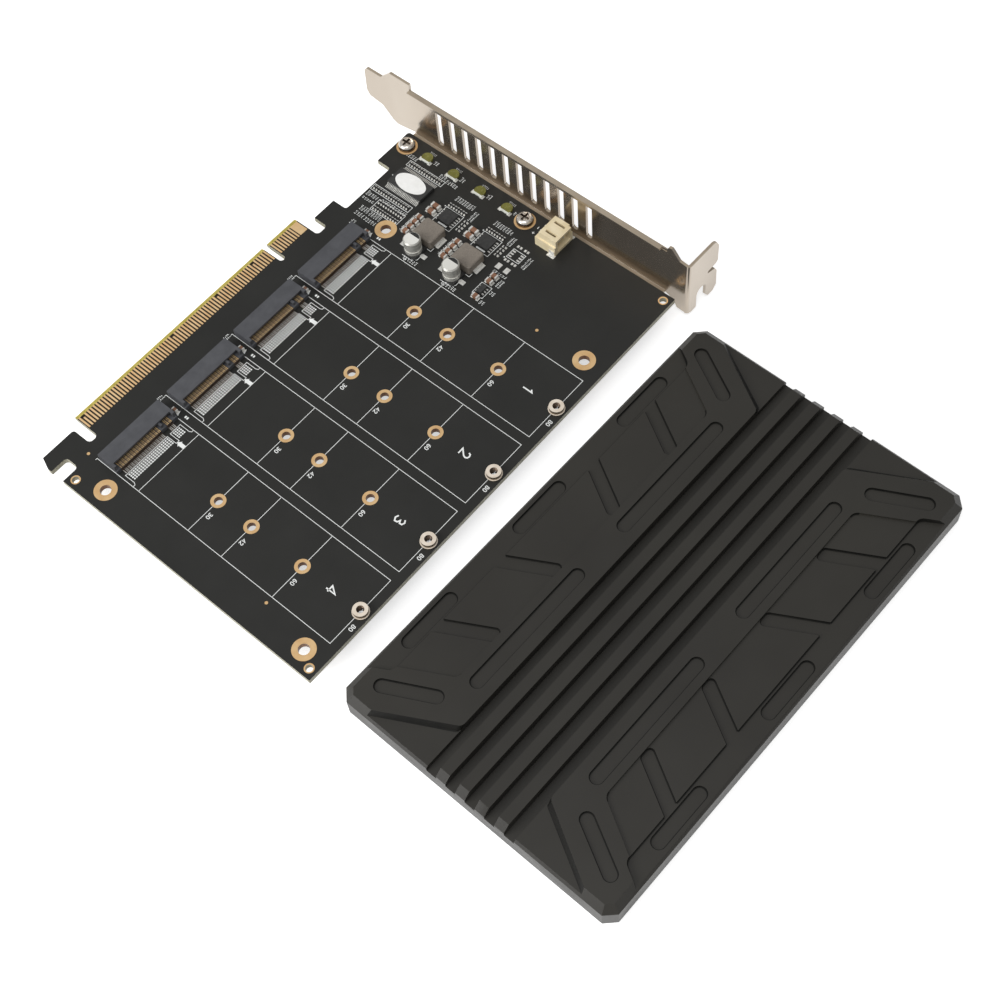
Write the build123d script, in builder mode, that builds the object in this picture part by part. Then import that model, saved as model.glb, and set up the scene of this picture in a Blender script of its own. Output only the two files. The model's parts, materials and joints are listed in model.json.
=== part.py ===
from build123d import *
import os
from math import cos, radians, sin

# Expansion card that carries four solid-state modules, with its finned cover beside it.
# Units are millimetres. The card lies level with its component side up, and the cover lies
# flat on the same surface, z = 0. Card coordinates run from the key notch of the edge
# connector (x), from the nose of its tongue (y) and from the top face of the board (z).

os.makedirs("parts", exist_ok=True)

# Where the card lies: key notch, tongue nose and board top face, from the part's origin
key_x = 8.215
nose_y = 91.137
board_top = 8.10

# Board
board_thickness = 1.6
board_left = -87.34
board_right = 55.8
board_bottom = -101.2
shoulder_y = -9.25
corner_r = 0.2

# Edge connector tongue with its key notch and bevel
tongue_left = -72.05
tongue_right = 12.2
key_width = 1.9
key_depth = 7.76
bevel_length = 1.25
bevel_depth = 0.4
left_slot_width = 2.95
right_slot_width = 3.8
slot_corner_r = 1.2

# Tabs of the board beside the tongue, and the retention hook at its far end
tab_top = -4.35
inner_tab_right = 23.85
bracket_tab_left = 42.45
tab_corner_r = 0.9
hook_top = -2.9
hook_slant = 1.4
hook_slant_height = 3.6
hook_notch_top = -7.76
hook_notch_bottom = -12.33
hook_notch_depth = 5.39
hook_notch_r = 1.2

# Contact fingers of the edge connector, counted from the key notch outward
finger_pitch = 1.0
finger_width = 0.7
finger_start = -1.25
finger_end = -5.6
short_finger_start = -2.1
key_side_gap = 1.5
near_fingers = 11
far_fingers = 71
short_fingers = (17, 31, 48, 81)
joined_fingers = 3
foil = 0.05

# The four module places
slot_count = 4
slot_pitch = 25.05
first_slot_x = 9.135
module_hole_ys = (-48.45, -60.45, -78.45)
module_hole_d = 2.45
module_ring_d = 4.2
standoff_y = -98.45

# Holes for the cover's screws, and small tooling holes
cover_hole_left = -82.17
cover_hole_far = -94.48
cover_hole_pitch_x = 107.53
cover_hole_pitch_y = 71.34
cover_hole_d = 3.15
cover_ring_d = 6.3
ring_setback = 0.2
tooling_holes = ((-84.97, -14.7), (-84.97, -98.94), (53.46, -98.94))
tooling_hole_d = 2.0
tooling_ring_d = 2.7

# Soldered standoffs at the far end of each module place
standoff_d = 4.05
standoff_height = 1.5
standoff_flange_d = 4.6
standoff_flange = 0.35
standoff_bore_d = 2.1
standoff_shank_d = 2.9
standoff_shank = 1.3
standoff_clearance = 0.1

# Bracket: one folded sheet, its width measured over both flanges
sheet = 0.86
bracket_gap = 1.95
bracket_width = 18.41
bend_r = 1.0
bend_inner_r = 0.15
flange_near = -5.0
flange_far = -96.5
top_flange = 2.1
top_flange_relief = 1.7
bottom_flange = 4.3
lug_half_width = 3.1
vent_count = 12
vent_pitch = 4.96
vent_first = -15.4
vent_width = 2.1
vent_length = 14.1
vent_bottom = 0.2
bracket_end = -103.9
tab_reach = 12.3
tab_notch_x = 5.35
tab_notch_width = 4.1
tab_notch_top = -0.75
tab_slit_z = 2.9
tab_slit = 0.9

# Screws that hold the bracket's lugs to the board
bracket_screw_x = 51.5
bracket_screw_ys = (-7.6, -52.0)
bracket_ring_d = 6.2
screw_d = 3.0
screw_head_d = 5.0
screw_head_h = 1.9
screw_head_r = 1.3
screw_clearance = 0.1
screw_length = 4.2
cross_length = 2.9
cross_width = 0.7
cross_depth = 1.2

# Module connectors, measured from the middle of each module place
socket_half_width = 10.92
socket_back = -15.4
socket_front = -20.6
socket_height = 2.9
socket_arm = 0.85
socket_arm_front = -21.8
socket_floor_front = -22.25
socket_floor = 1.3
mouth_height = 0.95
mouth_depth = 3.6
key_rib_x = 6.0
key_rib_width = 0.7
key_rib_top = 2.4
contact_pitch = 0.5
contact_width = 0.26
contact_sheet = 0.14
contact_tail_end = -23.8
contact_depth = 2.2
long_group_first = -9.15
long_group_count = 29
short_group_first = 7.35
short_group_count = 4

# Fan header
header_left = 47.1
header_width = 7.7
header_front = -66.5
header_depth = 6.0
header_height = 5.5
header_step = 0.5
header_foot_depth = 7.1
header_foot_height = 3.2
header_wall = 0.8
header_recess = 0.5
header_recess_depth = 0.9
window_width = 0.85
window_length = 3.6
window_spacing = 3.8
header_pin = 0.5
header_pin_spacing = 2.0
header_pin_z = 2.5
header_pin_tail = 1.0
header_pin_clearance = 0.03
header_pin_setback = 1.0
anchor_sheet = 0.25
anchor_length = 1.8
anchor_reach = 0.8
anchor_height = 1.6
anchor_setback = 0.2

# Controller
controller_x = 41.15
controller_y = -18.45
controller_length = 12.5
controller_width = 6.1
controller_height = 1.05
leads_per_side = 24
lead_pitch = 0.5
lead_width = 0.24
lead_sheet = 0.15
lead_span = 8.1
lead_exit = 0.5
seat_gap = 0.1
mould_draft = 8
label_length = 10.4
label_width = 5.9
label_sheet = 0.08

# Two equal converter stages, one below the other
stage_count = 2
stage_pitch = -14.15
coil_x = 31.1
coil_y = -34.5
coil_width = 6.7
coil_length = 7.0
coil_height = 2.9
coil_corner_r = 0.9
coil_edge = 0.3
coil_foot_width = 3.6
coil_foot_reach = 0.6
coil_foot_height = 0.5
can_x = 24.65
can_y = -34.3
can_d = 5.0
can_height = 4.8
can_base = 5.3
can_base_height = 0.6
can_base_chamfer = 1.0
can_groove = 0.2
can_groove_z = 1.2
can_groove_height = 0.7
can_edge = 0.35
can_foot_width = 0.8
can_foot_reach = 0.5
can_foot_height = 0.2
chip_x = 38.9
chip_y = -34.35
chip_width = 4.2
chip_length = 4.4
chip_height = 0.9

# Status lamps along the bracket edge
lamp_count = 4
lamp_x = 50.65
lamp_first_y = -15.45
lamp_pitch = 9.97
lamp_base_width = 0.95
lamp_base_length = 3.4
lamp_base_height = 0.5
lamp_lens_r = 1.72
lamp_lens_offset = 0.9
lamp_lens_height = 0.8

# Small linear regulator
regulator_x = 26.0
regulator_y = -58.2
regulator_width = 2.9
regulator_length = 1.6
regulator_height = 1.1
regulator_lead_pitch = 0.95
regulator_lead_width = 0.4
regulator_lead_reach = 0.6

# Ceramic capacitors and chip resistors, each a body between two metal ends
capacitor = (2.1, 1.3, 1.05)
large_capacitor = (2.8, 1.35, 1.2)
slot_capacitor = (1.7, 0.85, 0.8)
resistor = (1.0, 0.5, 0.36)
end_share = 0.22
capacitor_row = 4
capacitor_row_pitch = 2.0
capacitor_row_start = (28.15, -28.1)
large_capacitor_start = (37.7, -29.2)
large_capacitor_pitch = 2.1
slot_capacitor_gap = 1.28
slot_capacitor_y = -19.8
lower_capacitors = ((23.2, -58.3), (29.3, -58.0), (31.4, -58.0))
resistor_pitch = 0.95
resistor_columns = (
    (29.1, -15.3, 10),
    (31.4, -15.3, 10),
    (34.6, -10.6, 14),
    (47.2, -12.9, 13),
)
stage_column = (43.0, -31.6, 7)
stage_row = (37.5, -39.4, 4)
stage_row_pitch = 1.15

# Cover: a milled plate with two raised bands and fins between them
cover_x = -8.065
cover_y = -60.873
cover_turn = -0.94
cover_length = 139.3
cover_width = 84.72
cover_corner = 2.7
cover_side = 6.2
plateau = 6.85
channel = 7.5
band_top = 8.15
valley_floor = 5.0
fin_pitch = 6.05
fin_width = 2.95
fin_count = 4
band_run = 1.1
band_foot_x = 57.9
band_corner_r = 1.8
slant = 0.565
channel_inner = 22.8
channel_outer = 36.1
channel_end = 48.2
channel_corner_r = 2.4
strip_end = 57.1
groove_width = 4.5
groove_places = (18.1, 41.0)
groove_corner_r = 1.2
pocket_depth = 0.6
pocket_width = 3.85
long_pocket = 40.8
long_pocket_x = 27.5
long_pocket_y = 18.55
short_pocket = 18.8
short_pocket_pitch = 41.0
short_pocket_y = 38.75
end_pocket = 17.6
end_pocket_x = 58.4
end_pocket_y = 29.4
end_pocket_lean = 62.0
thread_core_d = 2.5
thread_depth = 4.0
thread_shift = -10.8

card = Plane(origin=(key_x, nose_y, board_top))
card_under = card.offset(-board_thickness)
slot_xs = [first_slot_x - slot_pitch * i for i in range(slot_count)]
module_holes = [(x, y) for x in slot_xs for y in module_hole_ys]
standoff_places = [(x, standoff_y) for x in slot_xs]
bracket_screws_at = [(bracket_screw_x, y) for y in bracket_screw_ys]
cover_holes = [
    (cover_hole_left + dx, cover_hole_far + dy)
    for dx in (0, cover_hole_pitch_x)
    for dy in (0, cover_hole_pitch_y)
]


def across(x):
    """Plane at a card x, seen from +X: its axes are the card's y and z."""
    return Plane(origin=(key_x + x, nose_y, board_top), x_dir=(0, 1, 0), z_dir=(1, 0, 0))


def along(y):
    """Plane at a card y, seen from -Y: its axes are the card's x and z."""
    return Plane(origin=(key_x, nose_y + y, board_top), x_dir=(1, 0, 0), z_dir=(0, -1, 0))


def span(x0, x1, y0, y1, mode=Mode.ADD):
    """Rectangle between two x and two y values of the sketch."""
    with Locations(((x0 + x1) / 2, (y0 + y1) / 2)):
        Rectangle(x1 - x0, y1 - y0, mode=mode)


def outline(*points, mode=Mode.ADD):
    """Closed face through the points."""
    Polygon(*points, align=None, mode=mode)


def corners(sketch, *points):
    """The sketch's own vertices nearest to the points."""
    return [sketch.vertices().sort_by_distance((x, y, 0))[0] for x, y in points]


def save(part, name):
    part.label = name
    export_step(part, f"parts/{name}.step")


# Board: outline with tongue, tabs and hook, then bevel and holes
hook_right = tongue_left - left_slot_width
tab_left = tongue_right + right_slot_width
notch_end = board_left + hook_notch_depth
with BuildPart() as board:
    with BuildSketch(card_under) as board_face:
        span(board_left, board_right, board_bottom, shoulder_y)
        span(tongue_left, tongue_right, shoulder_y, 0)
        span(tab_left, inner_tab_right, shoulder_y, tab_top)
        span(bracket_tab_left, board_right, shoulder_y, tab_top)
        outline(
            (board_left, shoulder_y),
            (board_left, hook_top - hook_slant_height),
            (board_left + hook_slant, hook_top),
            (hook_right, hook_top),
            (hook_right, shoulder_y),
        )
        span(board_left - 1, notch_end, hook_notch_bottom, hook_notch_top, mode=Mode.SUBTRACT)
        fillet(
            corners(
                board_face,
                (hook_right, shoulder_y),
                (tongue_left, shoulder_y),
                (tongue_right, shoulder_y),
                (tab_left, shoulder_y),
            ),
            radius=slot_corner_r,
        )
        fillet(
            corners(board_face, (notch_end, hook_notch_bottom), (notch_end, hook_notch_top)),
            radius=hook_notch_r,
        )
        fillet(
            corners(
                board_face,
                (hook_right, hook_top),
                (inner_tab_right, shoulder_y),
                (bracket_tab_left, shoulder_y),
                (board_right, tab_top),
            ),
            radius=tab_corner_r,
        )
        fillet(corners(board_face, (board_left, board_bottom), (board_right, board_bottom)), radius=corner_r)
        SlotOverall(2 * key_depth, key_width, rotation=90, mode=Mode.SUBTRACT)
        with Locations(*module_holes):
            Circle(module_hole_d / 2, mode=Mode.SUBTRACT)
        with Locations(*standoff_places):
            Circle(standoff_shank_d / 2 + standoff_clearance, mode=Mode.SUBTRACT)
        with Locations(*cover_holes):
            Circle(cover_hole_d / 2, mode=Mode.SUBTRACT)
        with Locations(*tooling_holes):
            Circle(tooling_hole_d / 2, mode=Mode.SUBTRACT)
        with Locations(*bracket_screws_at):
            Circle(screw_d / 2 + screw_clearance, mode=Mode.SUBTRACT)
    extrude(amount=board_thickness)
    with BuildSketch(across(tongue_left)):
        outline((0, 0), (-bevel_length, 0), (0, -bevel_depth))
        outline(
            (0, -board_thickness),
            (-bevel_length, -board_thickness),
            (0, bevel_depth - board_thickness),
        )
    extrude(amount=tongue_right - tongue_left, mode=Mode.SUBTRACT)
save(board.part, "pcb")

# Contact fingers on both faces of the tongue; on the component side some stand back
far_first = near_fingers + 1


def finger_x(number):
    if number <= near_fingers:
        return key_side_gap + finger_pitch * (near_fingers - number)
    return -key_side_gap - finger_pitch * (number - far_first)


def fingers(numbers, start):
    with Locations(*[(finger_x(n), (start + finger_end) / 2) for n in numbers]):
        Rectangle(finger_width, start - finger_end)


last_finger = near_fingers + far_fingers
all_fingers = range(1, last_finger + 1)
top_long = [n for n in all_fingers if n > joined_fingers and n not in short_fingers]
with BuildPart() as edge_fingers:
    with BuildSketch(card):
        fingers(top_long, finger_start)
        fingers(short_fingers, short_finger_start)
        half = finger_width / 2
        span(finger_x(joined_fingers) - half, finger_x(1) + half, finger_end, finger_start)
    extrude(amount=foil)
    with BuildSketch(card_under):
        fingers(all_fingers[1:], finger_start)
        fingers(all_fingers[:1], short_finger_start)
    extrude(amount=-foil)
save(edge_fingers.part, "edge_fingers")

# Gold rings round the holes; the bracket's lugs lie where its rings underneath would be
rings = [
    (module_holes, module_ring_d, module_hole_d + 2 * ring_setback),
    (cover_holes, cover_ring_d, cover_hole_d + 2 * ring_setback),
    (tooling_holes, tooling_ring_d, tooling_hole_d),
]
screw_rings = [(bracket_screws_at, bracket_ring_d, screw_d + 2 * screw_clearance)]
with BuildPart() as hole_rings:
    for face, height, kinds in ((card, foil, rings + screw_rings), (card_under, -foil, rings)):
        with BuildSketch(face):
            for places, outer, inner in kinds:
                with Locations(*places):
                    Circle(outer / 2)
                    Circle(inner / 2, mode=Mode.SUBTRACT)
        extrude(amount=height)
save(hole_rings.part, "hole_rings")

# Standoffs at the far end of the module places: shank in the board, flange on it
with BuildPart() as standoff:
    with BuildSketch(Plane.XZ) as standoff_half:
        bore = standoff_bore_d / 2
        span(bore, standoff_shank_d / 2, -standoff_shank, 0)
        span(bore, standoff_flange_d / 2, 0, standoff_flange)
        span(bore, standoff_d / 2, standoff_flange, standoff_height)
    revolve(axis=Axis.Z)
with BuildPart(card) as module_standoffs:
    with Locations(*standoff_places):
        add(standoff.part)
save(module_standoffs.part, "module_standoffs")

# Bracket: folded channel with vents, hooked tail, lugs under the board, and screw tab
face_in = board_right + bracket_gap
face_out = face_in + sheet
low = -board_thickness - sheet
high = low + bracket_width
tab_right = face_out + tab_reach
notch_x = face_out + tab_notch_x
notch_right = notch_x + tab_notch_width / 2
slit_low = tab_slit_z - tab_slit / 2
slit_high = tab_slit_z + tab_slit / 2
vents = [(vent_first - vent_pitch * i, vent_bottom + vent_length / 2) for i in range(vent_count)]
with BuildPart() as bracket:
    with BuildSketch(along(flange_near)) as fold:
        span(face_in, face_out, low, high)
        span(face_out - bottom_flange, face_out, low, low + sheet)
        span(face_out - top_flange, face_out, high - sheet, high)
        fillet(corners(fold, (face_out, low), (face_out, high)), radius=bend_r)
        fillet(corners(fold, (face_in, low + sheet), (face_in, high - sheet)), radius=bend_inner_r)
    extrude(amount=flange_near - flange_far)
    with BuildSketch(along(flange_far + top_flange_relief)):
        span(face_out - top_flange, face_in, high - sheet, high)
    extrude(amount=top_flange_relief, mode=Mode.SUBTRACT)
    with BuildSketch(across(face_in)) as ends:
        outline(
            (flange_near, low + 1.3),
            (1.8, low),
            (3.6, low + 0.8),
            (7.3, 2.1),
            (12.3, 2.9),
            (13.2, 4.8),
            (12.8, 13.0),
            (11.9, 14.0),
            (6.4, 14.1),
            (2.4, high + 2.05),
            (flange_near, high + 2.05),
        )
        outline(
            (flange_far, low),
            (flange_far, high),
            (flange_far - 0.4, high + 1.0),
            (flange_far - 1.4, high + 1.2),
            (flange_far - 2.2, high + 0.4),
            (flange_far - 4.1, high - 2.0),
            (bracket_end, high - 2.45),
            (bracket_end, low - 4.2),
            (bracket_end + 1.0, low - 3.9),
            (flange_far - 3.9, low - 3.8),
            (flange_far - 2.8, low - 1.3),
        )
        fillet(corners(ends, (12.3, 2.9), (13.2, 4.8), (12.8, 13.0), (11.9, 14.0)), radius=1.0)
    extrude(amount=sheet)
    with BuildSketch(across(face_in)):
        with Locations(*vents):
            SlotOverall(vent_length, vent_width, rotation=90)
    extrude(amount=sheet, mode=Mode.SUBTRACT)
    with BuildSketch(card.offset(low)):
        for x, y in bracket_screws_at:
            span(x, face_in - bend_r, y - lug_half_width, y + lug_half_width)
        with Locations(*bracket_screws_at):
            Circle(lug_half_width)
            Circle(screw_d / 2 + screw_clearance, mode=Mode.SUBTRACT)
    extrude(amount=sheet)
    with BuildSketch(along(bracket_end + sheet)) as tab_face:
        outline(
            (face_in, low - 4.2),
            (face_in, high - 2.45),
            (tab_right - 2.2, high - 2.7),
            (tab_right - 1.1, high - 3.3),
            (tab_right, high - 5.4),
            (tab_right, 4.0),
            (tab_right - 0.8, slit_high),
            (face_out + 8.0, slit_high),
            (face_out + 8.0, slit_low),
            (tab_right - 1.1, 1.4),
            (tab_right - 0.2, -0.2),
            (tab_right, -6.6),
            (tab_right - 1.4, -board_top),
            (tab_right - 3.6, -board_top),
            (notch_right, -6.2),
            (notch_right, low - 5.1),
            (face_out + 1.2, low - 5.1),
        )
        with Locations((notch_x, tab_notch_top - board_top)):
            SlotOverall(2 * board_top, tab_notch_width, rotation=90, mode=Mode.SUBTRACT)
    extrude(amount=sheet)
    uprights = bracket.edges().filter_by(Axis.Z)
    fold_outside = (key_x + face_in, nose_y + bracket_end, board_top + 2)
    fold_inside = (key_x + face_out, nose_y + bracket_end + sheet, board_top + 2)
    fillet(uprights.sort_by_distance(fold_outside)[0], radius=bend_r)
    fillet(
        bracket.edges().filter_by(Axis.Z).sort_by_distance(fold_inside)[0],
        radius=bend_inner_r,
    )
save(bracket.part, "bracket")

# Pan-head screws with a crossed recess, seated on the rings, through board and lugs
with BuildPart() as screw:
    with BuildSketch(Plane.XZ) as screw_half:
        span(0, screw_d / 2, -screw_length, 0)
        span(0, screw_head_d / 2, 0, screw_head_h)
        fillet(corners(screw_half, (screw_head_d / 2, screw_head_h)), radius=screw_head_r)
    revolve(axis=Axis.Z)
    with BuildSketch(Plane.XY.offset(screw_head_h)):
        Rectangle(cross_length, cross_width)
        Rectangle(cross_width, cross_length)
    extrude(amount=-cross_depth, mode=Mode.SUBTRACT)
with BuildPart(card.offset(foil)) as bracket_screws:
    with Locations(*bracket_screws_at):
        add(screw.part)
save(bracket_screws.part, "bracket_screws")

# Module connector: housing with an open mouth, arms beside it and a ledge before it
arm_x = socket_half_width - socket_arm
mouth_back = socket_front + mouth_depth
with BuildPart() as socket:
    with BuildSketch():
        span(-socket_half_width, socket_half_width, socket_front, socket_back)
        span(-socket_half_width, -arm_x, socket_arm_front, socket_front)
        span(arm_x, socket_half_width, socket_arm_front, socket_front)
    extrude(amount=socket_height)
    with BuildSketch():
        span(-socket_half_width, socket_half_width, socket_floor_front, socket_front)
    extrude(amount=socket_floor)
    with BuildSketch(Plane.XY.offset(socket_floor)):
        span(-arm_x, arm_x, socket_front, mouth_back)
    extrude(amount=mouth_height, mode=Mode.SUBTRACT)
    with BuildSketch(Plane.XY.offset(socket_floor)):
        rib = key_rib_width / 2
        span(key_rib_x - rib, key_rib_x + rib, socket_arm_front, mouth_back)
    extrude(amount=key_rib_top - socket_floor)

# Contacts of one connector: soldered tail, rise before the ledge, blade on its floor
blade_end = socket_front + contact_depth
tail_front = socket_floor_front - contact_sheet
contact_xs = [long_group_first + contact_pitch * i for i in range(long_group_count)]
contact_xs += [short_group_first + contact_pitch * i for i in range(short_group_count)]
with BuildPart() as contact:
    with BuildSketch(Plane(origin=(-contact_width / 2, 0, 0), x_dir=(0, 1, 0), z_dir=(1, 0, 0))):
        outline(
            (contact_tail_end, 0),
            (socket_floor_front, 0),
            (socket_floor_front, socket_floor),
            (blade_end, socket_floor),
            (blade_end, socket_floor + contact_sheet),
            (tail_front, socket_floor + contact_sheet),
            (tail_front, contact_sheet),
            (contact_tail_end, contact_sheet),
        )
    extrude(amount=contact_width)

for number, x in enumerate(slot_xs, start=1):
    with BuildPart(card) as module_socket:
        with Locations((x, 0)):
            add(socket.part)
    save(module_socket.part, f"module_socket_{number}")
    with BuildPart(card) as module_contacts:
        with Locations(*[(x + dx, 0) for dx in contact_xs]):
            add(contact.part)
    save(module_contacts.part, f"module_contacts_{number}")

# Fan header: stepped housing open to the front, two windows in its roof
header_right = header_left + header_width
header_back = header_front + header_foot_depth
cavity_left = header_left + header_step + header_wall
cavity_right = header_right - header_wall
header_middle = (cavity_left + cavity_right) / 2
pin_xs = [header_middle - header_pin_spacing / 2, header_middle + header_pin_spacing / 2]
pin_hole = header_pin + 2 * header_pin_clearance
with BuildPart() as fan_header_housing:
    with BuildSketch(card):
        span(header_left + header_step, header_right, header_front, header_front + header_depth)
    extrude(amount=header_height)
    with BuildSketch(card):
        span(header_left, header_right, header_front, header_back)
    extrude(amount=header_foot_height)
    with BuildSketch(card.offset(header_foot_height)):
        span(header_right - header_recess, header_right, header_front, header_front + header_recess_depth)
    extrude(amount=header_height - header_foot_height, mode=Mode.SUBTRACT)
    with BuildSketch(along(header_front)):
        span(cavity_left, cavity_right, header_wall, header_height - header_wall)
    extrude(amount=-(header_depth - header_wall), mode=Mode.SUBTRACT)
    with BuildSketch(card.offset(header_height)):
        with Locations((header_middle, header_front + header_depth / 2)):
            with GridLocations(window_spacing, 1, 2, 1):
                Rectangle(window_width, window_length)
    extrude(amount=-header_wall, mode=Mode.SUBTRACT)
    with BuildSketch(along(header_front)):
        with Locations(*[(x, header_pin_z) for x in pin_xs]):
            Rectangle(pin_hole, pin_hole)
    extrude(amount=-header_foot_depth, mode=Mode.SUBTRACT)
save(fan_header_housing.part, "fan_header_housing")

pin_low = header_pin_z - header_pin / 2
pin_front = header_front + header_pin_setback
pin_drop = header_back + header_pin_clearance
with BuildPart() as fan_header_pins:
    for x in pin_xs:
        with BuildSketch(across(x - header_pin / 2)):
            outline(
                (pin_front, pin_low),
                (pin_drop, pin_low),
                (pin_drop, 0),
                (pin_drop + header_pin_tail, 0),
                (pin_drop + header_pin_tail, header_pin / 2),
                (pin_drop + header_pin, header_pin / 2),
                (pin_drop + header_pin, pin_low + header_pin),
                (pin_front, pin_low + header_pin),
            )
        extrude(amount=header_pin)
save(fan_header_pins.part, "fan_header_pins")

anchor_y = header_front + anchor_setback
with BuildPart() as fan_header_anchors:
    for side, inner in ((-1, header_left), (1, header_right)):
        outer = inner + side * anchor_reach
        leaf = inner + side * anchor_sheet
        with BuildSketch(along(anchor_y + anchor_length)):
            outline(
                (inner, 0),
                (outer, 0),
                (outer, anchor_sheet),
                (leaf, anchor_sheet),
                (leaf, anchor_height),
                (inner, anchor_height),
            )
        extrude(amount=anchor_length)
save(fan_header_anchors.part, "fan_header_anchors")

# Controller: drafted body held clear of the board by its leads, and a blank label on it
lead_z = lead_exit + lead_sheet / 2
body_side = controller_width / 2
with BuildPart() as controller_chip:
    for height in (seat_gap + controller_height - lead_z, seat_gap - lead_z):
        with BuildSketch(card.offset(lead_z)):
            with Locations((controller_x, controller_y)):
                Rectangle(controller_width, controller_length)
        extrude(amount=height, taper=mould_draft)
save(controller_chip.part, "controller_chip")

lead_end = lead_span / 2
with BuildPart() as lead_pair:
    with BuildSketch(Plane.XZ.offset(-lead_width / 2)):
        for side in (-1, 1):
            outline(
                (side * body_side, lead_exit),
                (side * (lead_end - 0.75), lead_exit),
                (side * (lead_end - 0.6), 0),
                (side * lead_end, 0),
                (side * lead_end, lead_sheet),
                (side * (lead_end - 0.5), lead_sheet),
                (side * (lead_end - 0.65), lead_exit + lead_sheet),
                (side * body_side, lead_exit + lead_sheet),
            )
    extrude(amount=lead_width)
with BuildPart(card) as controller_leads:
    with Locations((controller_x, controller_y)):
        with GridLocations(1, lead_pitch, 1, leads_per_side):
            add(lead_pair.part)
save(controller_leads.part, "controller_leads")

with BuildPart() as blank_label:
    with BuildSketch(card.offset(seat_gap + controller_height)):
        with Locations((controller_x, controller_y)):
            Ellipse(label_width / 2, label_length / 2)
    extrude(amount=label_sheet)
save(blank_label.part, "blank_label")

# Converter stages: switching regulator, inductor on two feet, and can capacitor on its base
stage_ys = [stage_pitch * i for i in range(stage_count)]
for number, shift in enumerate(stage_ys, start=1):
    with BuildPart() as regulator_chip:
        with BuildSketch(card):
            with Locations((chip_x, chip_y + shift)):
                Rectangle(chip_width, chip_length)
        extrude(amount=chip_height)
    save(regulator_chip.part, f"regulator_chip_{number}")

    with BuildPart() as inductor:
        with BuildSketch(card):
            with Locations((coil_x, coil_y + shift)):
                RectangleRounded(coil_width, coil_length, coil_corner_r)
        extrude(amount=coil_height)
        chamfer(inductor.faces().sort_by(Axis.Z)[-1].edges(), length=coil_edge)
    save(inductor.part, f"inductor_{number}")

    with BuildPart(card.offset(can_base_height)) as capacitor_can:
        with Locations((can_x, can_y + shift)):
            Cylinder(can_d / 2, can_height, align=(Align.CENTER, Align.CENTER, Align.MIN))
        chamfer(capacitor_can.faces().sort_by(Axis.Z)[-1].edges(), length=can_edge)
        with Locations((can_x, can_y + shift, can_groove_z)):
            Cylinder(
                can_d / 2,
                can_groove_height,
                align=(Align.CENTER, Align.CENTER, Align.MIN),
                mode=Mode.SUBTRACT,
            )
            Cylinder(
                can_d / 2 - can_groove,
                can_groove_height,
                align=(Align.CENTER, Align.CENTER, Align.MIN),
            )
    save(capacitor_can.part, f"capacitor_can_{number}")

    with BuildPart() as capacitor_base:
        with BuildSketch(card) as base_face:
            with Locations((can_x, can_y + shift)):
                Rectangle(can_base, can_base)
            half = can_base / 2
            chamfer(
                corners(
                    base_face,
                    (can_x - half, can_y + shift + half),
                    (can_x + half, can_y + shift + half),
                ),
                length=can_base_chamfer,
            )
        extrude(amount=can_base_height)
    save(capacitor_base.part, f"capacitor_base_{number}")

coil_foot_y = (coil_length + coil_foot_reach) / 2
with BuildPart() as inductor_feet:
    with BuildSketch(card):
        for shift in stage_ys:
            with Locations((coil_x, coil_y + shift)):
                with GridLocations(1, 2 * coil_foot_y, 1, 2):
                    Rectangle(coil_foot_width, coil_foot_reach)
    extrude(amount=coil_foot_height)
save(inductor_feet.part, "inductor_feet")

can_foot_y = (can_base + can_foot_reach) / 2
with BuildPart() as capacitor_feet:
    with BuildSketch(card):
        for shift in stage_ys:
            with Locations((can_x, can_y + shift)):
                with GridLocations(1, 2 * can_foot_y, 1, 2):
                    Rectangle(can_foot_width, can_foot_reach)
    extrude(amount=can_foot_height)
save(capacitor_feet.part, "capacitor_feet")

# Status lamps: upright base strip with a half-round lens against it
lamp_ys = [lamp_first_y - lamp_pitch * i for i in range(lamp_count)]
lens_left = lamp_x + lamp_base_width / 2
with BuildPart() as lamp_bases:
    with BuildSketch(card):
        with Locations(*[(lamp_x, y) for y in lamp_ys]):
            Rectangle(lamp_base_width, lamp_base_length)
    extrude(amount=lamp_base_height)
save(lamp_bases.part, "lamp_bases")
for number, y in enumerate(lamp_ys, start=1):
    with BuildPart() as lamp_lens:
        with BuildSketch(card):
            with Locations((lamp_x + lamp_lens_offset, y)):
                Circle(lamp_lens_r)
            span(lens_left - 2 * lamp_lens_r, lens_left, y - 2, y + 2, mode=Mode.SUBTRACT)
        extrude(amount=lamp_lens_height)
    save(lamp_lens.part, f"lamp_lens_{number}")

# Small linear regulator on six leads
with BuildPart() as linear_regulator:
    with BuildSketch(card.offset(seat_gap)):
        with Locations((regulator_x, regulator_y)):
            Rectangle(regulator_width, regulator_length)
    extrude(amount=regulator_height)
save(linear_regulator.part, "linear_regulator")
lead_y = (regulator_length + regulator_lead_reach) / 2
with BuildPart() as linear_regulator_leads:
    with BuildSketch(card):
        with Locations((regulator_x, regulator_y)):
            with GridLocations(regulator_lead_pitch, 2 * lead_y, 3, 2):
                Rectangle(regulator_lead_width, regulator_lead_reach)
    extrude(amount=seat_gap + lead_sheet)
save(linear_regulator_leads.part, "linear_regulator_leads")


# Chip capacitors and resistors: a body between two metal ends
def chips(places, size, want_ends, turned=False):
    """Sketch the bodies or the metal ends of equal chips; turned ones have their ends in y."""
    length, width = size[0], size[1]
    end = length * end_share
    turn = 90 if turned else 0
    for x, y in places:
        with Locations(Location((x, y, 0), turn)):
            if want_ends:
                with GridLocations(length - end, 1, 2, 1):
                    Rectangle(end, width)
            else:
                Rectangle(length - 2 * end, width)


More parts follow.
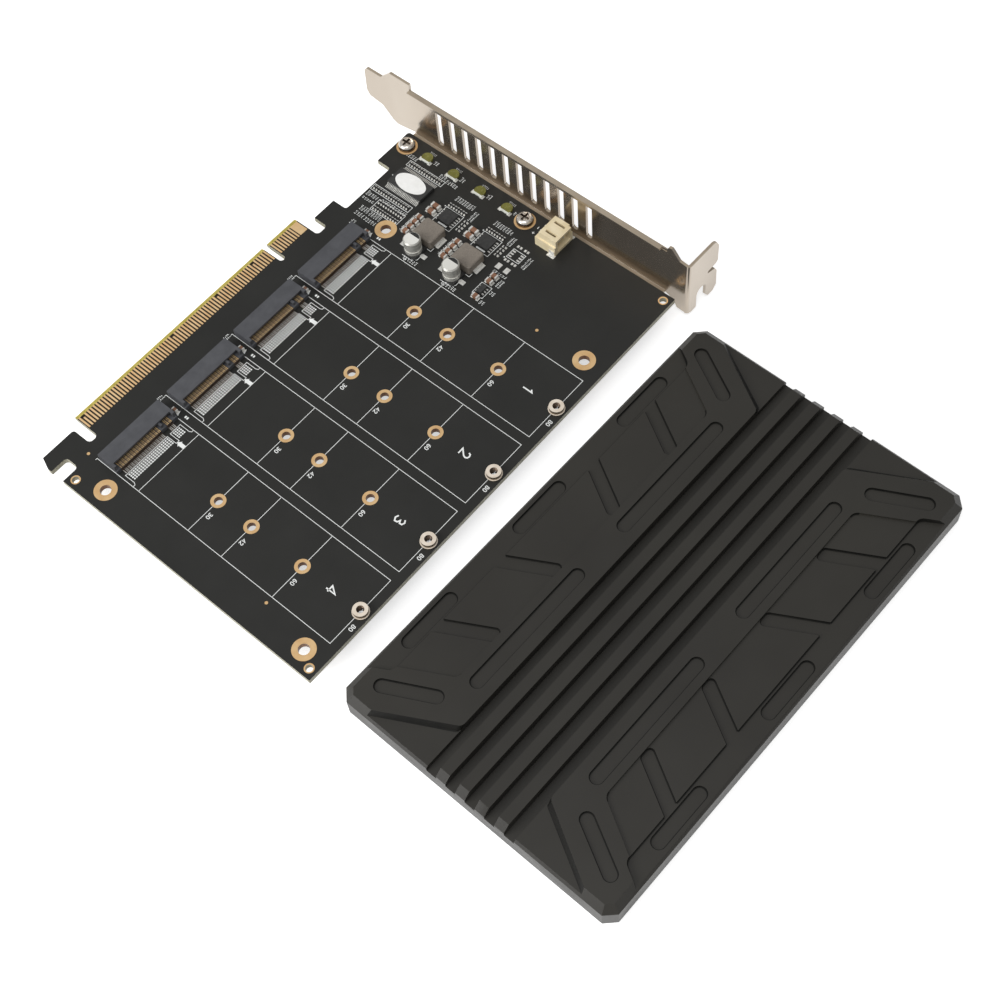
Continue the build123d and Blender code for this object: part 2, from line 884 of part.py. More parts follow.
row_x, row_y = capacitor_row_start
row_places = [
    (row_x + capacitor_row_pitch * i, row_y + shift)
    for shift in stage_ys
    for i in range(capacitor_row)
]
large_x, large_y = large_capacitor_start
large_places = [(large_x + large_capacitor_pitch * i, large_y + shift) for shift in stage_ys for i in (0, 1)]
slot_places = [(x + socket_half_width + slot_capacitor_gap, slot_capacitor_y) for x in slot_xs]
column_places = [
    (x, y - resistor_pitch * i)
    for x, y, count in resistor_columns
    for i in range(count)
]
for shift in stage_ys:
    x, y, count = stage_column
    column_places += [(x, y + shift - resistor_pitch * i) for i in range(count)]
row_first_x, stage_row_y, row_count = stage_row
row_resistors = [
    (row_first_x + stage_row_pitch * i, stage_row_y + shift)
    for shift in stage_ys
    for i in range(row_count)
]
capacitor_kinds = (
    (row_places + list(lower_capacitors), capacitor),
    (large_places, large_capacitor),
    (slot_places, slot_capacitor),
)
for want_ends, name in ((False, "ceramic_capacitor_bodies"), (True, "ceramic_capacitor_ends")):
    with BuildPart() as capacitors:
        for places, size in capacitor_kinds:
            with BuildSketch(card):
                chips(places, size, want_ends, turned=True)
            extrude(amount=size[2])
    save(capacitors.part, name)
for want_ends, name in ((False, "chip_resistor_bodies"), (True, "chip_resistor_ends")):
    with BuildPart() as resistors:
        with BuildSketch(card):
            chips(column_places, resistor, want_ends)
            chips(row_resistors, resistor, want_ends, turned=True)
        extrude(amount=resistor[2])
    save(resistors.part, name)

# Cover: chamfered plate; its own plane has u along its length and v across it
turn = radians(cover_turn)
cover = Plane(origin=(cover_x, cover_y, 0), x_dir=(cos(turn), sin(turn), 0))
edge_v = cover_width / 2
end_u = cover_length / 2
fin_half = fin_pitch * fin_count / 2
valley_half = (fin_pitch - fin_width) / 2
bands_from = fin_half + valley_half
quarters = [(su, sv) for su in (-1, 1) for sv in (-1, 1)]
with BuildPart() as heatsink_cover:
    with BuildSketch(cover) as hull:
        Rectangle(cover_length, cover_width)
        chamfer(hull.vertices(), length=cover_corner)
    extrude(amount=band_top)
    chamfer(heatsink_cover.faces().sort_by(Axis.Z)[-1].edges(), length=band_top - cover_side)
    # Low triangles at the ends, with a sloped step up to the bands
    rise = band_top - plateau
    for su, sv in quarters:
        for height, foot in ((plateau, band_foot_x), (band_top, band_foot_x - band_run)):
            with BuildSketch(cover.offset(height)) as triangle:
                past_end = end_u + slant * edge_v
                outline(
                    (su * (foot - 2 * band_corner_r), sv * fin_half),
                    (su * (foot - 2 * band_corner_r), sv * bands_from),
                    (su * foot, sv * bands_from),
                    (su * (foot + slant * edge_v), sv * (bands_from + edge_v)),
                    (su * past_end, sv * (bands_from + edge_v)),
                    (su * past_end, sv * fin_half),
                )
                fillet(corners(triangle, (su * foot, sv * bands_from)), radius=band_corner_r)
        loft(ruled=True, mode=Mode.SUBTRACT)
    # Valleys between the fins
    with BuildSketch(cover.offset(band_top)):
        with GridLocations(1, fin_pitch, 1, fin_count + 1):
            Rectangle(cover_length, fin_pitch - fin_width)
    extrude(amount=valley_floor - band_top, mode=Mode.SUBTRACT)
    # Shallow channels along the bands
    with BuildSketch(cover.offset(band_top)) as channels:
        for sv in (-1, 1):
            inner_v = sv * channel_inner
            outer_v = sv * channel_outer
            channel_far = channel_end + slant * (channel_outer - channel_inner)
            outline(
                (-channel_end, inner_v),
                (-channel_far, outer_v),
                (channel_far, outer_v),
                (channel_end, inner_v),
            )
            fillet(
                corners(channels, (-channel_end, inner_v), (channel_end, inner_v)),
                radius=channel_corner_r,
            )
    extrude(amount=channel - band_top, mode=Mode.SUBTRACT)
    # Lower strips along the long edges
    with BuildSketch(cover.offset(band_top)) as strips:
        for sv in (-1, 1):
            strip_far = strip_end + slant * (edge_v + 1 - channel_outer)
            outline(
                (-strip_end, sv * channel_outer),
                (-strip_far, sv * (edge_v + 1)),
                (strip_far, sv * (edge_v + 1)),
                (strip_end, sv * channel_outer),
            )
            fillet(
                corners(strips, (-strip_end, sv * channel_outer), (strip_end, sv * channel_outer)),
                radius=channel_corner_r,
            )
    extrude(amount=plateau - band_top, mode=Mode.SUBTRACT)
    # Slanted grooves from the channels into the strips
    with BuildSketch(cover.offset(band_top)) as grooves:
        for su, sv in quarters:
            for place in groove_places:
                inner = place - slant * (channel_outer - channel_inner)
                ends_u = (inner - groove_width / 2, inner + groove_width / 2)
                outline(
                    (su * (place - groove_width / 2), sv * channel_outer),
                    (su * (place + groove_width / 2), sv * channel_outer),
                    (su * ends_u[1], sv * channel_inner),
                    (su * ends_u[0], sv * channel_inner),
                )
                fillet(
                    corners(grooves, *[(su * u, sv * channel_inner) for u in ends_u]),
                    radius=groove_corner_r,
                )
    extrude(amount=plateau - band_top, mode=Mode.SUBTRACT)
    # Stadium pockets on the bands and in the strips
    with BuildSketch(cover.offset(band_top)):
        with GridLocations(2 * long_pocket_x, 2 * long_pocket_y, 2, 2):
            SlotOverall(long_pocket, pocket_width)
        for su, sv in quarters:
            with Locations((su * end_pocket_x, sv * end_pocket_y)):
                SlotOverall(end_pocket, pocket_width, rotation=su * sv * end_pocket_lean)
    extrude(amount=-pocket_depth, mode=Mode.SUBTRACT)
    with BuildSketch(cover.offset(plateau)):
        with GridLocations(short_pocket_pitch, 2 * short_pocket_y, 3, 2):
            SlotOverall(short_pocket, pocket_width)
    extrude(amount=-pocket_depth, mode=Mode.SUBTRACT)
    # Threads for the screws that come up through the board
    with BuildSketch(cover):
        with Locations((thread_shift, 0)):
            with GridLocations(cover_hole_pitch_x, cover_hole_pitch_y, 2, 2):
                Circle(thread_core_d / 2)
    extrude(amount=thread_depth, mode=Mode.SUBTRACT)
save(heatsink_cover.part, "heatsink_cover")
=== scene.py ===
import json
import random
from math import cos, pi, radians, sin

import bmesh
import bpy
from mathutils import Matrix, Vector


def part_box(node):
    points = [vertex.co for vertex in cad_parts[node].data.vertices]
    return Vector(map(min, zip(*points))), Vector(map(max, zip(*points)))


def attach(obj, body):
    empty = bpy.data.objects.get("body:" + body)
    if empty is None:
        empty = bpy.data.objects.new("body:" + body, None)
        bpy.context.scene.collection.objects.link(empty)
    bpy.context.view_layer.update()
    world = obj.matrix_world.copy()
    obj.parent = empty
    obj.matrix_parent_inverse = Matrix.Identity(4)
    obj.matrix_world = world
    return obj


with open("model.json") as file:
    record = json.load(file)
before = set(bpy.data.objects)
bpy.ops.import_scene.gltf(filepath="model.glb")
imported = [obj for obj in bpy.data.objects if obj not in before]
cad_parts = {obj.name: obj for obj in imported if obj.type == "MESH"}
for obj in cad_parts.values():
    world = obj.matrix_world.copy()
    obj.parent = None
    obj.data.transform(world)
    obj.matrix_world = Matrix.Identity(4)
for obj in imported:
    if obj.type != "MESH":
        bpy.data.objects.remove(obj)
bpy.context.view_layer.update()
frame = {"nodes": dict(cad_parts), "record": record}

# Card coordinates in millimetres: x from the key notch, y from the tongue's nose, z from the board's top
MM = 0.001
KEY_FROM_LEFT = 87.34
BOARD_LOW, BOARD_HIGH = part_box("pcb")
BOARD_THICKNESS = (BOARD_HIGH.z - BOARD_LOW.z) / MM
ORIGIN = Vector((BOARD_LOW.x + KEY_FROM_LEFT * MM, BOARD_HIGH.y, BOARD_HIGH.z))


def at(x, y, z=0.0):
    """A point of the card, in metres in the shared frame."""
    return ORIGIN + Vector((x, y, z)) * MM


# Places of the module slots and holes, as in the CAD model
SLOT_COUNT, SLOT_PITCH, FIRST_SLOT_X = 4, 25.05, 9.135
SLOT_XS = [FIRST_SLOT_X - SLOT_PITCH * i for i in range(SLOT_COUNT)]
HOLE_YS = (-48.45, -60.45, -78.45)
STANDOFF_Y = -98.45
MODULE_HOLES = [(x, y) for x in SLOT_XS for y in HOLE_YS]
COVER_HOLES = [(x, y) for x in (-82.17, 25.36) for y in (-94.48, -23.14)]

# Places of the controller, the lamps, and what stands in each of the two converter stages
CONTROLLER_AT = (41.15, -18.45)
LAMP_COUNT, LAMP_PITCH, FIRST_LAMP_Y = 4, 9.97, -15.45
LAMP_YS = [FIRST_LAMP_Y - LAMP_PITCH * i for i in range(LAMP_COUNT)]
STAGE_SHIFTS = (0, -14.15)
INDUCTOR_AT = (31.1, -34.5)
CAN_AT = (24.65, -34.3)
REGULATOR_AT = (38.9, -34.35)


# Materials
def srgb(r, g, b):
    """A colour as read from a screen, 0 to 255, as Blender's linear colour."""
    values = []
    for c in (r, g, b):
        c /= 255
        values.append(c / 12.92 if c <= 0.04045 else ((c + 0.055) / 1.055) ** 2.4)
    return (*values, 1.0)


class Finish:
    """A node material whose colour, roughness and surface vary with noise; colours are 0 to 255."""

    COAT_ROUGHNESS = 0.15
    BUMP_STRENGTH = 0.6
    FINER = 3.1
    COLOUR_A, COLOUR_B, MIXED_COLOUR = 6, 7, 2

    def __init__(self, name, dark, light, grain, rough, metal=0.0, bump=0.004, stretch=(1, 1, 1),
                 coat=0.0, specular=0.5, detail=6.0):
        self.metal = metal
        self.material = bpy.data.materials.new(name)
        self.material.use_nodes = True
        self.tree = self.material.node_tree
        self.shader = self.tree.nodes["Principled BSDF"]
        self.shader.inputs["Metallic"].default_value = metal
        self.shader.inputs["Coat Weight"].default_value = coat
        self.shader.inputs["Coat Roughness"].default_value = self.COAT_ROUGHNESS
        self.shader.inputs["Specular IOR Level"].default_value = specular
        self.coords = self.node("ShaderNodeTexCoord").outputs["Object"]
        mapping = self.node("ShaderNodeMapping")
        mapping.inputs["Scale"].default_value = stretch
        self.link(self.coords, mapping.inputs["Vector"])
        self.placed = mapping.outputs["Vector"]
        self.colour = self.tint(grain, dark, light, detail=detail)
        self.repaint(self.colour)
        fine = self.noise(grain * self.FINER, detail)
        self.link(self.spread(fine, *rough), self.shader.inputs["Roughness"])
        self.bumps = self.node("ShaderNodeBump")
        self.bumps.inputs["Strength"].default_value = self.BUMP_STRENGTH
        self.bumps.inputs["Distance"].default_value = bump * MM
        self.link(fine, self.bumps.inputs["Height"])
        self.link(self.bumps.outputs["Normal"], self.shader.inputs["Normal"])

    def node(self, kind):
        return self.tree.nodes.new(kind)

    def link(self, source, target):
        self.tree.links.new(source, target)

    def repaint(self, colour):
        self.link(colour, self.shader.inputs["Base Color"])

    def noise(self, scale, detail=6.0):
        noise = self.node("ShaderNodeTexNoise")
        noise.inputs["Scale"].default_value = scale
        noise.inputs["Detail"].default_value = detail
        self.link(self.placed, noise.inputs["Vector"])
        return noise.outputs["Fac"]

    def tint(self, grain, dark, light, edge=0.3, detail=6.0):
        """A colour that goes from dark to light as noise goes from edge to 1 - edge."""
        ramp = self.node("ShaderNodeValToRGB")
        low, high = ramp.color_ramp.elements
        low.position, high.position = edge, 1 - edge
        low.color, high.color = srgb(*dark), srgb(*light)
        self.link(self.noise(grain, detail), ramp.inputs["Fac"])
        return ramp.outputs["Color"]

    def spread(self, value, low, high, start=0.3, end=0.7):
        """The value's start to end, spread over low to high."""
        spread = self.node("ShaderNodeMapRange")
        spread.inputs["From Min"].default_value = start
        spread.inputs["From Max"].default_value = end
        spread.inputs["To Min"].default_value = low
        spread.inputs["To Max"].default_value = high
        self.link(value, spread.inputs["Value"])
        return spread.outputs["Result"]

    def fade(self, value, start, end):
        """1 up to the start, falling to 0 at the end."""
        return self.spread(value, 1, 0, start, end)

    def mix(self, factor, a, b):
        mix = self.node("ShaderNodeMix")
        mix.data_type = "RGBA"
        self.link(factor, mix.inputs["Factor"])
        self.link(a, mix.inputs[self.COLOUR_A])
        self.link(b, mix.inputs[self.COLOUR_B])
        return mix.outputs[self.MIXED_COLOUR]

    def math(self, operation, a, b=0.0):
        math = self.node("ShaderNodeMath")
        math.operation = operation
        for socket, value in ((math.inputs[0], a), (math.inputs[1], b)):
            if isinstance(value, (int, float)):
                socket.default_value = value
            else:
                self.link(value, socket)
        return math.outputs[0]

    def above(self, value, limit):
        return self.math("GREATER_THAN", value, limit)

    def below(self, value, limit):
        return self.math("LESS_THAN", value, limit)

    def both(self, a, b):
        return self.math("MULTIPLY", a, b)

    def either(self, a, b):
        return self.math("MAXIMUM", a, b)

    def part(self, vector, axis):
        """One coordinate of a vector."""
        separate = self.node("ShaderNodeSeparateXYZ")
        self.link(vector, separate.inputs["Vector"])
        return separate.outputs[axis]

    def into_millimetre(self, start):
        """How far x is into its millimetre, counted from a start on the card, 0 to 1."""
        way = self.math("SUBTRACT", self.part(self.coords, "X"), at(start, 0).x)
        return self.math("FRACT", self.math("DIVIDE", way, MM))

    def upward(self):
        """How far the surface faces up or down, 0 to 1."""
        normal = self.node("ShaderNodeNewGeometry").outputs["True Normal"]
        return self.math("ABSOLUTE", self.part(normal, "Z"))

    def paint_flat_light(self, least, colour, metal):
        """Paints light on faces that face up or down by more than that: they get their own colour and metal.
        """
        flat = self.above(self.upward(), least)
        self.repaint(self.mix(flat, self.colour, colour))
        self.link(self.spread(flat, self.metal, metal, 0, 1), self.shader.inputs["Metallic"])

    def paint_wall_shade(self, most, colour):
        """Paints shade on faces that face up or down by less than that: they get their own colour."""
        self.repaint(self.mix(self.below(self.upward(), most), self.colour, colour))


def plain(name, dark, light, grain, rough, **looks):
    """A material that needs nothing beyond its noise."""
    return Finish(name, dark, light, grain, rough, **looks).material


# The tongue's bare laminate, and how far its bevels and the board's edges face up
TONGUE_LEFT, TONGUE_RIGHT, TONGUE_FOOT = -72.1, 12.25, -5.7
BEVEL_FACING = (0.97, 0.98)
EDGE_FACING = (0.6, 0.7)


def board_finish():
    """Black mask on the faces, a bare tongue with yellow bevels, and laminate edges."""
    f = Finish("board_mask", (33, 33, 31), (38, 38, 36), grain=60, rough=(0.4, 0.46),
               bump=0.002, specular=0.4)
    laminate = f.tint(2500, (126, 122, 100), (176, 172, 150), edge=0.35)
    bevel = f.tint(900, (166, 150, 62), (196, 180, 92), edge=0.35)
    bare = f.tint(900, (24, 15, 10), (38, 24, 16), edge=0.35)
    x, y = f.part(f.coords, "X"), f.part(f.coords, "Y")
    inside = f.both(f.above(x, at(TONGUE_LEFT, 0).x), f.below(x, at(TONGUE_RIGHT, 0).x))
    tongue = f.both(inside, f.above(y, at(0, TONGUE_FOOT).y))
    upward = f.upward()
    face = f.mix(tongue, f.colour, bare)
    face = f.mix(f.fade(upward, *BEVEL_FACING), face, bevel)
    f.repaint(f.mix(f.fade(upward, *EDGE_FACING), face, laminate))
    return f.material


# A module connector's contacts: start of their pairs, end of the tails, and the line of painted shade
# between rows
PAIR_START = -0.125
PAIR_SHADE = 0.8
TAIL_END, TAIL_START = -22.5, -22.3
GAP_SHADE_Y, GAP_SHADE_HALF = -21.4, 0.09


def contact_finish(number, xc):
    """Gold blades of one module connector with tinned tails; painted shade on every second one, on the
    risers and between the rows.
    """
    f = Finish(f"contact_alloy_{number}", (224, 184, 124), (248, 216, 160), grain=900,
               rough=(0.28, 0.4), metal=0.4, bump=0.003)
    shaded = f.tint(1800, (58, 40, 26), (96, 68, 42))
    tinned = f.tint(1500, (206, 205, 200), (240, 238, 232))
    y = f.part(f.coords, "Y")
    tail = f.fade(y, at(0, TAIL_END).y, at(0, TAIL_START).y)
    second = f.both(f.below(f.into_millimetre(xc + PAIR_START), 0.5), PAIR_SHADE)
    gap_shade = f.math("COMPARE", y, at(0, GAP_SHADE_Y).y)
    gap_shade.node.inputs[2].default_value = GAP_SHADE_HALF * MM
    # Painted shade: every second blade, the upright risers and the line between the rows get the shaded
    # colour.
    dark = f.either(f.below(f.upward(), 0.5), f.either(second, gap_shade))
    f.repaint(f.mix(dark, f.mix(tail, f.colour, tinned), shaded))
    return f.material


# Half of an edge finger's face that is left without painted shade, and where the fingers that are joined
# begin
FINGER_HALF = 0.27
JOINED_FROM = 9.0


def finger_finish():
    """Gold fingers with painted shade on their flanks, one millimetre apart; the joined ones stay whole."""
    f = Finish("finger_gold", (236, 194, 138), (250, 218, 168), grain=350, rough=(0.3, 0.4),
               metal=0.45, bump=0.003)
    flank_shade = f.tint(1200, (44, 27, 18), (70, 44, 28))
    aside = f.math("ABSOLUTE", f.math("SUBTRACT", f.into_millimetre(0), 0.5))
    single = f.below(f.part(f.coords, "X"), at(JOINED_FROM, 0).x)
    # Painted shade along each single finger's flanks.
    f.repaint(f.mix(f.both(f.above(aside, FINGER_HALF), single), f.colour, flank_shade))
    return f.material


def bracket_finish():
    """Plated sheet, glossy where it stands; its flat faces get painted light, a less metallic colour of
    their own.
    """
    f = Finish("bracket_nickel", (176, 164, 150), (190, 180, 167), grain=60, rough=(0.2, 0.24),
               metal=0.95, bump=0.0006, stretch=(1, 1, 0.2), detail=3)
    # Painted light: faces lying flat get this colour and less metal, for how light falls on them.
    f.paint_flat_light(0.8, f.tint(220, (166, 152, 133), (184, 170, 150)), metal=0.25)
    return f.material


def standoff_finish():
    """Plated brass, with painted light on its flat faces and painted shade on its sides."""
    f = Finish("gold_brass", (96, 84, 70), (132, 118, 100), grain=450, rough=(0.24, 0.32),
               metal=0.7, bump=0.003)
    f.paint_flat_light(0.5, f.tint(700, (222, 208, 190), (242, 231, 216)), metal=0.15)
    return f.material


def screw_finish():
    """Bright steel with painted shade on its recess and rim."""
    f = Finish("screw_steel", (206, 198, 188), (236, 230, 222), grain=600, rough=(0.2, 0.3),
               metal=0.8, bump=0.003)
    f.paint_wall_shade(0.35, f.tint(900, (74, 62, 50), (112, 96, 80)))
    return f.material


def plating_finish():
    """Gold lips, and painted shade in dark bronze on the walls of the plated holes."""
    f = Finish("hole_plating", (232, 188, 132), (246, 210, 158), grain=350, rough=(0.3, 0.4),
               metal=0.5, bump=0.003)
    f.paint_wall_shade(0.5, f.tint(1500, (84, 54, 30), (128, 84, 48)))
    return f.material


def cover_finish():
    """Bead-blasted black anodising."""
    f = Finish("cover_anodised", (38, 36, 32), (44, 42, 37), grain=30, rough=(0.4, 0.48))
    f.link(f.noise(5000, detail=2), f.bumps.inputs["Height"])
    return f.material


def can_finish():
    """Drawn aluminium, with painted light that makes its top paler and less metallic."""
    f = Finish("can_aluminium", (178, 177, 170), (208, 207, 200), grain=700, rough=(0.34, 0.44),
               metal=0.5, bump=0.006, stretch=(0.15, 0.15, 2.5))
    f.paint_flat_light(0.9, f.tint(500, (214, 213, 206), (236, 235, 229)), metal=0.1)
    return f.material


def lens_finish():
    """Yellowish moulding that lets a little light in."""
    f = Finish("lamp_lens", (100, 98, 40), (128, 126, 62), grain=500, rough=(0.2, 0.3),
               bump=0.002, coat=0.4)
    f.shader.inputs["Subsurface Weight"].default_value = 0.3
    f.shader.inputs["Subsurface Radius"].default_value = (0.6 * MM, 0.6 * MM, 0.2 * MM)
    return f.material


MASK = board_finish()
GOLD = plain("gold", (232, 188, 132), (246, 210, 158), grain=350, rough=(0.3, 0.4), metal=0.5)
BRASS = standoff_finish()
NICKEL = bracket_finish()
STEEL = screw_finish()
SOCKET = plain("socket_resin", (70, 71, 75), (80, 81, 85), grain=400, rough=(0.5, 0.62), bump=0.006)
CONTACT = contact_finish(1, SLOT_XS[0])
# Painted shade: the threads in the standoffs' bores are coloured dark for the shade inside them.
THREAD_SHADE = plain("thread_shade", (52, 40, 30), (104, 84, 66), grain=900, rough=(0.3, 0.4), metal=0.5)
HEADER = plain("header_resin", (224, 207, 168), (240, 227, 194), grain=300, rough=(0.42, 0.52))
TIN = plain("tin", (204, 203, 198), (240, 239, 234), grain=1200, rough=(0.28, 0.4), metal=0.4, bump=0.01)
CHIP = plain("chip_resin", (44, 44, 44), (58, 58, 57), grain=900, rough=(0.5, 0.62), bump=0.006)
PAPER = plain("label_paper", (243, 243, 240), (252, 252, 250), grain=500, rough=(0.5, 0.6))
CORE = plain("inductor_core", (119, 111, 102), (135, 127, 117), grain=2200, rough=(0.5, 0.6), bump=0.008)
CAN = can_finish()
BASE = plain("base_resin", (34, 34, 34), (46, 46, 45), grain=500, rough=(0.45, 0.55), bump=0.006)
LAMP = plain("lamp_base", (214, 216, 208), (236, 237, 230), grain=600, rough=(0.4, 0.5))
LENS = lens_finish()
CERAMIC = plain("capacitor_ceramic", (118, 82, 62), (150, 110, 86), grain=700, rough=(0.4, 0.5))
RESISTOR = plain("resistor_ceramic", (38, 38, 40), (52, 52, 54), grain=900, rough=(0.3, 0.4))
COVER = cover_finish()
INK = plain("board_print", (232, 234, 232), (244, 246, 244), grain=900, rough=(0.5, 0.6))

BY_SLOT = {
    "board_mask": MASK, "gold": GOLD, "gold_brass": BRASS, "bracket_nickel": NICKEL, "screw_steel": STEEL,
    "socket_resin": SOCKET, "contact_alloy": CONTACT, "header_resin": HEADER, "tin": TIN, "chip_resin": CHIP,
    "label_paper": PAPER, "inductor_core": CORE, "can_aluminium": CAN, "base_resin": BASE, "lamp_base": LAMP,
    "lamp_lens": LENS, "capacitor_ceramic": CERAMIC, "resistor_ceramic": RESISTOR, "cover_anodised": COVER,
}


def give(material, name):
    """Puts a material on a CAD node."""
    materials = frame["nodes"][name].data.materials
    materials.clear()
    materials.append(material)


for subpart in frame["record"]["subparts"]:
    give(BY_SLOT[subpart["material_slot"]], subpart["node"])
for slot_number, xc in enumerate(SLOT_XS[1:], start=2):
    give(contact_finish(slot_number, xc), f"module_contacts_{slot_number}")
give(finger_finish(), "edge_fingers")


# What is done with or read from a CAD node's mesh
WELD_REACH = 0.001
SHARP_ANGLE = 25
MICRONS = 1e6


def break_edges(name, width):
    """Small chamfers along a CAD node's sharp edges."""
    node = frame["nodes"][name]
    weld = node.modifiers.new("weld", "WELD")
    weld.merge_threshold = WELD_REACH * MM
    chamfer = node.modifiers.new("chamfer", "BEVEL")
    chamfer.width = width * MM
    chamfer.segments = 1
    chamfer.limit_method = "ANGLE"
    chamfer.angle_limit = radians(SHARP_ANGLE)


def facets(name):
    """A CAD node's polygons as (corners, normal), and the polygons on both sides of each edge."""
    node = frame["nodes"][name]
    corners = [node.matrix_world @ v.co for v in node.data.vertices]
    polygons, sides = [], {}
    for k, polygon in enumerate(node.data.polygons):
        loop = [corners[i] for i in polygon.vertices]
        polygons.append((loop, (loop[1] - loop[0]).cross(loop[2] - loop[0]).normalized()))
        for a, b in zip(loop, loop[1:] + loop[:1]):
            edge = frozenset(tuple(round(c * MICRONS) for c in end) for end in (a, b))
            sides.setdefault(edge, []).append((k, a, b))
    return polygons, [pair for pair in sides.values() if len(pair) == 2]


def covers(loop, point):
    """Whether a level polygon, seen from above, holds the point."""
    return all(
        (b.x - a.x) * (point.y - a.y) - (b.y - a.y) * (point.x - a.x) > 0
        for a, b in zip(loop, loop[1:] + loop[:1])
    )


break_edges("heatsink_cover", width=0.12)


# Mesh helpers: every shape is drawn in card millimetres
SHARPEST_MITRE = 0.4


def prism(bm, points, low, high):
    """A closed prism over a counter-clockwise outline."""
    bottom = [bm.verts.new(at(x, y, low)) for x, y in points]
    top = [bm.verts.new(at(x, y, high)) for x, y in points]
    bm.faces.new(top)
    bm.faces.new(bottom[::-1])
    for i in range(len(points)):
        j = (i + 1) % len(points)
        bm.faces.new((bottom[i], bottom[j], top[j], top[i]))


def bar(bm, x0, x1, y0, y1, low, high):
    """An upright box, each pair of numbers from low to high."""
    prism(bm, [(x0, y0), (x1, y0), (x1, y1), (x0, y1)], low, high)


def ribbon(bm, points, width, low, high, closed=False):
    """A line of that width through the points, mitred at its corners."""
    spots = [Vector(point) for point in points]
    count = len(spots)
    rings = []
    for i, here in enumerate(spots):
        ways = []
        if i or closed:
            ways.append((here - spots[i - 1]).normalized())
        if i < count - 1 or closed:
            ways.append((spots[(i + 1) % count] - here).normalized())
        normals = [Vector((-way.y, way.x)) for way in ways]
        normal = sum(normals, Vector((0, 0))).normalized()
        aside = normal * (width / 2 / max(normal.dot(normals[0]), SHARPEST_MITRE))
        left, right = here + aside, here - aside
        corners = ((left, high), (right, high), (right, low), (left, low))
        rings.append([bm.verts.new(at(p.x, p.y, z)) for p, z in corners])
    for i in range(count if closed else count - 1):
        one, two = rings[i], rings[(i + 1) % count]
        for k in range(4):
            m = (k + 1) % 4
            bm.faces.new((one[k], one[m], two[m], two[k]))
    if not closed:
        bm.faces.new(rings[0][::-1])
        bm.faces.new(rings[-1])


def round_path(cx, cy, r, start=0.0, end=360.0, steps=24):
    """Points along an arc, without its last one where it comes full circle."""
    count = steps if end - start >= 360 else steps + 1
    angles = [radians(start + (end - start) * i / steps) for i in range(count)]
    return [(cx + r * cos(angle), cy + r * sin(angle)) for angle in angles]


def lathe(bm, cx, cy, profile, steps=40):
    """A closed profile of (radius, z) turned round an upright axis."""
    rings = []
    for i in range(steps):
        a = 2 * pi * i / steps
        rings.append([bm.verts.new(at(cx + r * cos(a), cy + r * sin(a), z)) for r, z in profile])
    for i in range(steps):
        one, two = rings[i], rings[(i + 1) % steps]
        for k in range(len(profile)):
            m = (k + 1) % len(profile)
            bm.faces.new((one[k], two[k], two[m], one[m]))


def row(x, y, count, dx=0.0, dy=0.0):
    """Places in a row that begins at (x, y)."""
    return [(x + dx * i, y + dy * i) for i in range(count)]


def ends(places, dx=0.0, dy=0.0):
    """The two places on either side of each place, that far from it."""
    return [(x + side * dx, y + side * dy) for x, y in places for side in (-1, 1)]


def moved(points, dx=0.0, dy=0.0):
    return [(x + dx, y + dy) for x, y in points]


def piece(name, material, draw):
    """One object of the model: draw(bm) fills its mesh, and it rides on the card."""
    bm = bmesh.new()
    draw(bm)
    bmesh.ops.recalc_face_normals(bm, faces=bm.faces)
    mesh = bpy.data.meshes.new(name)
    bm.to_mesh(mesh)
    bm.free()
    mesh.materials.append(material)
    obj = bpy.data.objects.new(name, mesh)
    bpy.context.collection.objects.link(obj)
    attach(obj, "root")


# Print on the board
INK_HIGH = 0.03
LINE = 0.15
SIGN_LINE = 0.2


def print_shape(bm, points):
    prism(bm, points, 0, INK_HIGH)


def print_bar(bm, x0, x1, y0, y1):
    bar(bm, x0, x1, y0, y1, 0, INK_HIGH)


def print_line(bm, points, width=LINE, closed=False):
    ribbon(bm, points, width, 0, INK_HIGH, closed)


def print_sign(bm, x, y, size, plus=True):
    """A plus or minus sign centred on (x, y)."""
    half, thin = size / 2, SIGN_LINE / 2
    print_bar(bm, x - half, x + half, y - thin, y + thin)
    if plus:
        print_bar(bm, x - thin, x + thin, y - half, y + half)


# Figures as lines of points, one unit high, with the step to the next figure and the gap within it
DIGITS = {
    "0": [[(0.3, 1), (0.08, 0.85), (0, 0.5), (0.08, 0.15), (0.3, 0), (0.52, 0.15), (0.6, 0.5),
           (0.52, 0.85), (0.3, 1)]],
    "1": [[(0.1, 0.78), (0.32, 1), (0.32, 0)]],
    "2": [[(0.02, 0.74), (0.1, 0.93), (0.3, 1), (0.5, 0.93), (0.58, 0.74), (0.5, 0.52), (0, 0), (0.6, 0)]],
    "3": [[(0, 0.86), (0.24, 1), (0.5, 0.9), (0.52, 0.66), (0.28, 0.54), (0.54, 0.42), (0.58, 0.16),
           (0.3, 0), (0, 0.12)]],
    "4": [[(0.46, 0), (0.46, 1), (0, 0.3), (0.64, 0.3)]],
    "6": [[(0.5, 1), (0.2, 0.86), (0.02, 0.45), (0.1, 0.1), (0.32, 0), (0.56, 0.12), (0.58, 0.4),
           (0.32, 0.56), (0.06, 0.42)]],
    "8": [[(0.3, 0.54), (0.08, 0.66), (0.08, 0.88), (0.3, 1), (0.52, 0.88), (0.52, 0.66), (0.3, 0.54),
           (0.02, 0.4), (0.04, 0.12), (0.3, 0), (0.56, 0.12), (0.58, 0.4), (0.3, 0.54)]],
}
DIGIT_STEP, DIGIT_GAP = 0.85, 0.25


def number(bm, text, x, y, height, width):
    """Plain figures centred on (x, y), upright when seen from the far side of the card."""
    step = DIGIT_STEP * height
    start = -(len(text) * step - DIGIT_GAP * height) / 2
    for i, figure in enumerate(text):
        for path in DIGITS[figure]:
            points = [(x - (start + i * step + px * height), y - (py - 0.5) * height) for px, py in path]
            print_line(bm, points, width)


